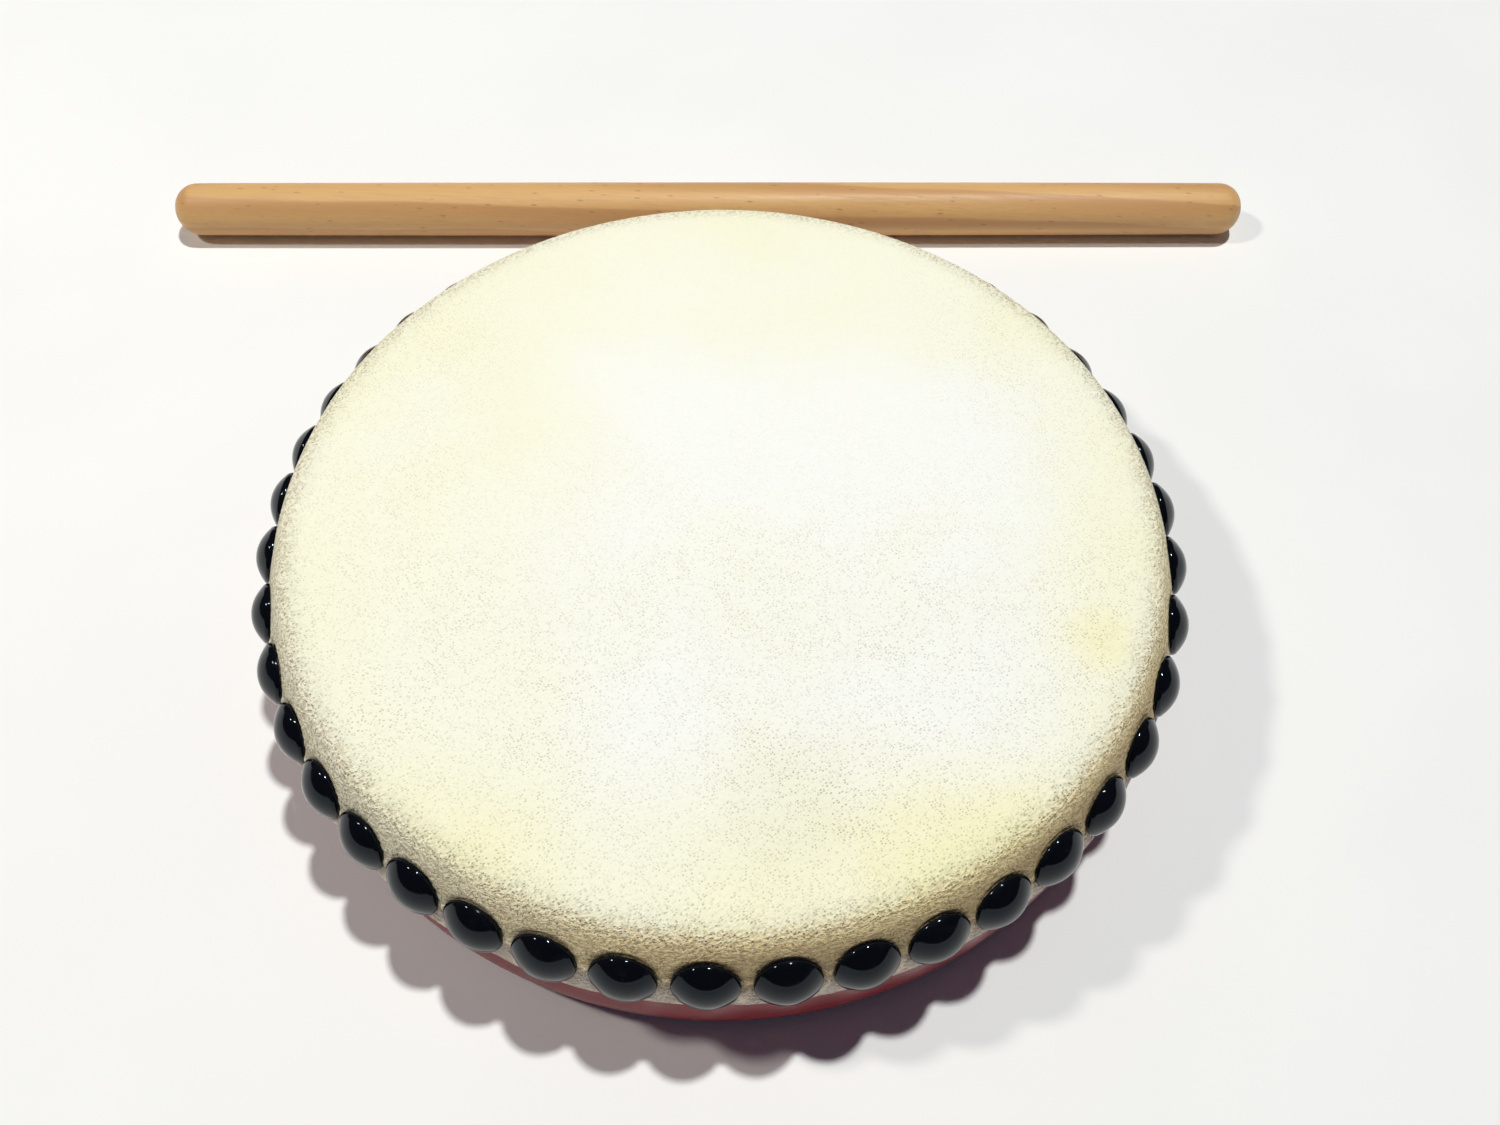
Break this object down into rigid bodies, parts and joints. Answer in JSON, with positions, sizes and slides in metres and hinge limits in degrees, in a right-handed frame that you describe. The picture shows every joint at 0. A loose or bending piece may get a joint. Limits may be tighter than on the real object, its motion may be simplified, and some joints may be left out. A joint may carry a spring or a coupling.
{
  "type": "okinawan hand drum",
  "caption": "One-sided hand drum: shallow barrel-sided wooden shell with an open back, one hide wrapped over its edge and held by a ring of domed tacks, with its plain wooden stick.",
  "frame": {"origin": "centre of the playing face, on the drum's axis; the plane that drum and stick rest on is 52 mm below it", "axes": "+Z out of the playing face along the drum's axis, +X along the stick, +Y from the drum towards the stick"},
  "size_m": [0.3808, 0.2951, 0.052],
  "materials": {
    "red_lacquer": "glossy dark red lacquer outside and over the rim, bare wood inside",
    "rawhide": "matt cream rawhide with a fine grain and small dark pores",
    "black_enamel": "glossy black enamel on iron",
    "beech": "satin beech with short brown flecks"
  },
  "bodies": {
    "drum": {"shell": "red_lacquer", "drumhead": "rawhide", "tack_01": "black_enamel", "tack_02": "black_enamel", "tack_03": "black_enamel", "tack_04": "black_enamel", "tack_05": "black_enamel", "tack_06": "black_enamel", "tack_07": "black_enamel", "tack_08": "black_enamel", "tack_09": "black_enamel", "tack_10": "black_enamel", "tack_11": "black_enamel", "tack_12": "black_enamel", "tack_13": "black_enamel", "tack_14": "black_enamel", "tack_15": "black_enamel", "tack_16": "black_enamel", "tack_17": "black_enamel", "tack_18": "black_enamel", "tack_19": "black_enamel", "tack_20": "black_enamel", "tack_21": "black_enamel", "tack_22": "black_enamel", "tack_23": "black_enamel", "tack_24": "black_enamel", "tack_25": "black_enamel", "tack_26": "black_enamel", "tack_27": "black_enamel", "tack_28": "black_enamel", "tack_29": "black_enamel", "tack_30": "black_enamel", "tack_31": "black_enamel", "tack_32": "black_enamel", "tack_33": "black_enamel", "tack_34": "black_enamel", "tack_35": "black_enamel", "tack_36": "black_enamel", "tack_37": "black_enamel", "tack_38": "black_enamel", "tack_39": "black_enamel", "tack_40": "black_enamel", "tack_41": "black_enamel", "tack_42": "black_enamel"},
    "stick": {"stick": "beech"}
  },
  "joints": [
    {"name": "stick_lift", "type": "slide", "parent": "drum", "child": "stick", "axis": [0, 0, 1], "range_m": [0, 0.12]}
  ]
}
